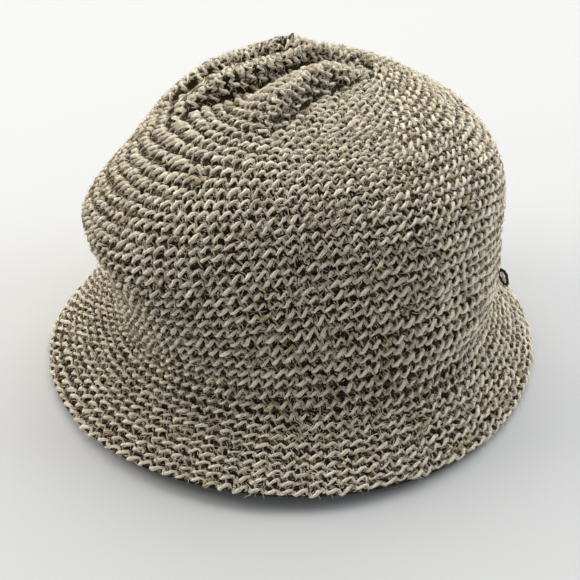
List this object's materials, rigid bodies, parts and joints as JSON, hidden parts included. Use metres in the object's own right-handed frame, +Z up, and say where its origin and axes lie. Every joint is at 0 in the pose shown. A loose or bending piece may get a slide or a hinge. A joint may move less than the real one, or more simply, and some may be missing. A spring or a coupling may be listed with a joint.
{
  "type": "cloche hat",
  "caption": "Knitted wool cloche hat with a pleated crown and a flared brim, in marled beige and brown yarn.",
  "frame": {"origin": "on the floor, at the middle of the bounding box seen from above", "axes": "+Z up through the crown, -Y towards the front of the hat, +X towards the side on the right of the picture"},
  "size_m": [0.2409, 0.2467, 0.1404],
  "materials": {
    "marled_wool_knit": "matte"
  },
  "bodies": {
    "root": {"knit_body": "marled_wool_knit"}
  },
  "joints": []
}
